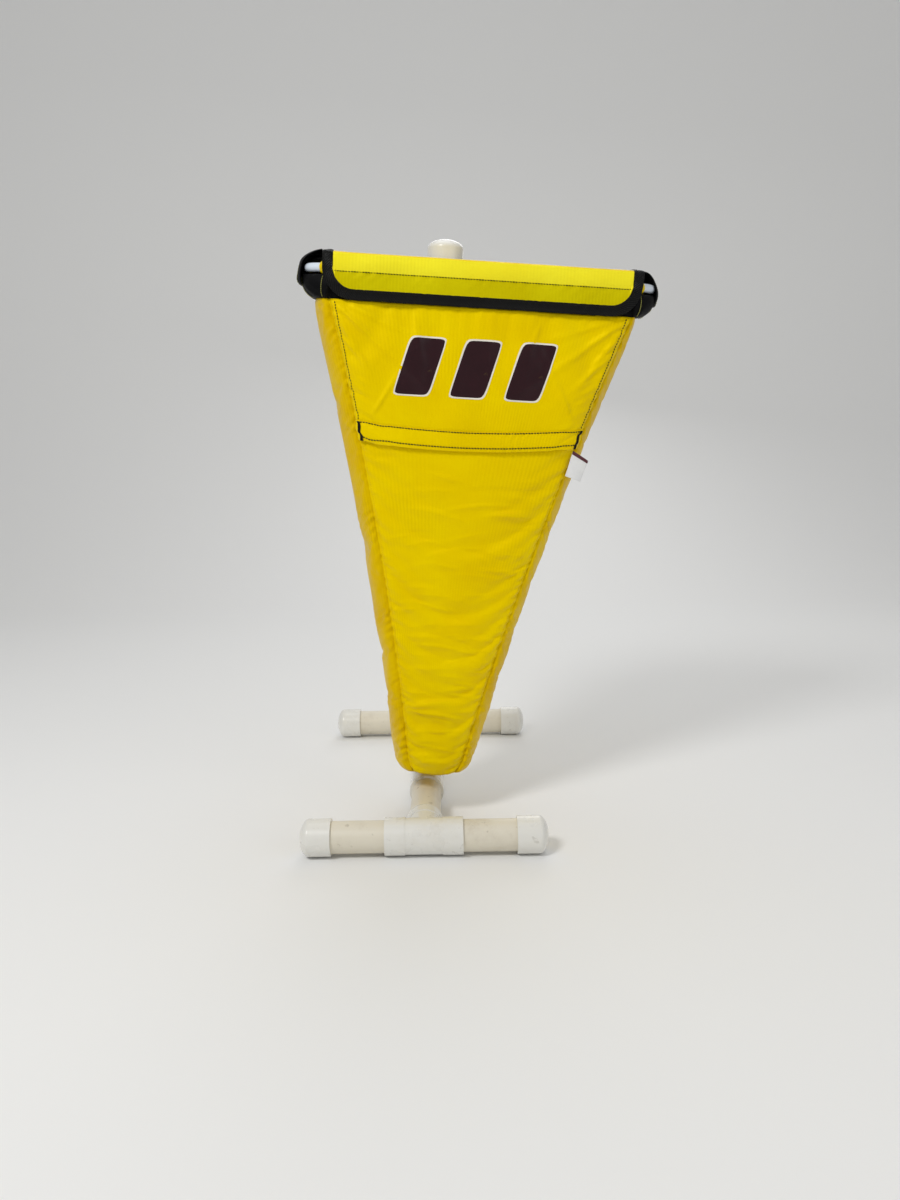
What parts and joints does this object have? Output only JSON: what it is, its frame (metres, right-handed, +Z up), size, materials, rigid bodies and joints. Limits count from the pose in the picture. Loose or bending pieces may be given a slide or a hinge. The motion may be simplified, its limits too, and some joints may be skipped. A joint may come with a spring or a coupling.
{
  "type": "debris collection bag on stand",
  "caption": "Tall tapered yellow fabric debris bag with a bound lid, hung on a free-standing white plastic pipe stand with a front and a rear foot.",
  "frame": {"origin": "on the floor, straight under the middle of the post's tee", "axes": "+Z up, +X to the right as seen from the bag's front, +Y away from the bag's front"},
  "size_m": [0.6921, 0.8155, 1.1526],
  "materials": {
    "pipe_plastic": "satin, lightly scuffed",
    "fitting_plastic": "moulded, half gloss",
    "hoop_tube": "smooth, half gloss",
    "coupling": "matt",
    "yellow_cloth": "coated woven nylon, satin",
    "black_cloth": "coated woven nylon, matt",
    "black_binding": "twill tape",
    "black_webbing": "woven webbing",
    "closure_strip": "hook and loop",
    "dark_thread": "sewing thread",
    "dark_film": "heat-transfer film, satin",
    "white_film": "heat-transfer film, satin",
    "tag_cloth": "printed-cloth tag, left blank"
  },
  "bodies": {
    "stand": {"front_tee": "fitting_plastic", "rear_tee": "fitting_plastic", "post_tee": "fitting_plastic", "front_left_pipe": "pipe_plastic", "front_right_pipe": "pipe_plastic", "rear_left_pipe": "pipe_plastic", "rear_right_pipe": "pipe_plastic", "front_centre_pipe": "pipe_plastic", "rear_centre_pipe": "pipe_plastic", "post_pipe": "pipe_plastic", "front_left_cap": "fitting_plastic", "front_right_cap": "fitting_plastic", "rear_left_cap": "fitting_plastic", "rear_right_cap": "fitting_plastic", "post_cap": "fitting_plastic"},
    "bag": {"front_panel": "yellow_cloth", "back_panel": "yellow_cloth", "left_side_panel": "yellow_cloth", "right_side_panel": "yellow_cloth", "bottom_panel": "yellow_cloth", "front_overlay": "yellow_cloth", "hem_band": "yellow_cloth", "hem_bar_tacks": "dark_thread", "plain_marks": "dark_film", "fabric_tag": "tag_cloth", "mouth_hoop": "hoop_tube", "hoop_coupling": "coupling", "front_sleeve": "yellow_cloth", "left_casing": "black_cloth", "right_casing": "black_cloth", "rear_casing": "black_cloth", "front_collar": "black_cloth", "left_collar": "black_cloth", "right_collar": "black_cloth", "rear_collar": "black_cloth", "upper_post_loop": "black_webbing", "lower_post_loop": "black_webbing", "loop_closure_strip": "closure_strip"},
    "lid": {"lid_panel": "yellow_cloth", "lid_side_binding": "black_binding"},
    "lid_drop": {"lid_drop": "yellow_cloth", "lid_drop_binding": "black_binding", "hook_closure_strip": "closure_strip"}
  },
  "joints": [
    {"name": "bag_lift", "type": "slide", "parent": "stand", "child": "bag", "axis": [0.0523, 0, 0.9986], "range_m": [0, 0.6]},
    {"name": "lid_hinge", "type": "hinge", "parent": "bag", "child": "lid", "pos_m": [0.11845, -0.04286, 1.10811], "axis": [-0.9962, -0.0523, 0.0697], "range_deg": [0, 112]},
    {"name": "drop_fold", "type": "hinge", "parent": "lid", "child": "lid_drop", "pos_m": [0.12649, -0.24594, 1.07064], "axis": [-0.9962, -0.0523, 0.0697], "range_deg": [0, 85]}
  ]
}
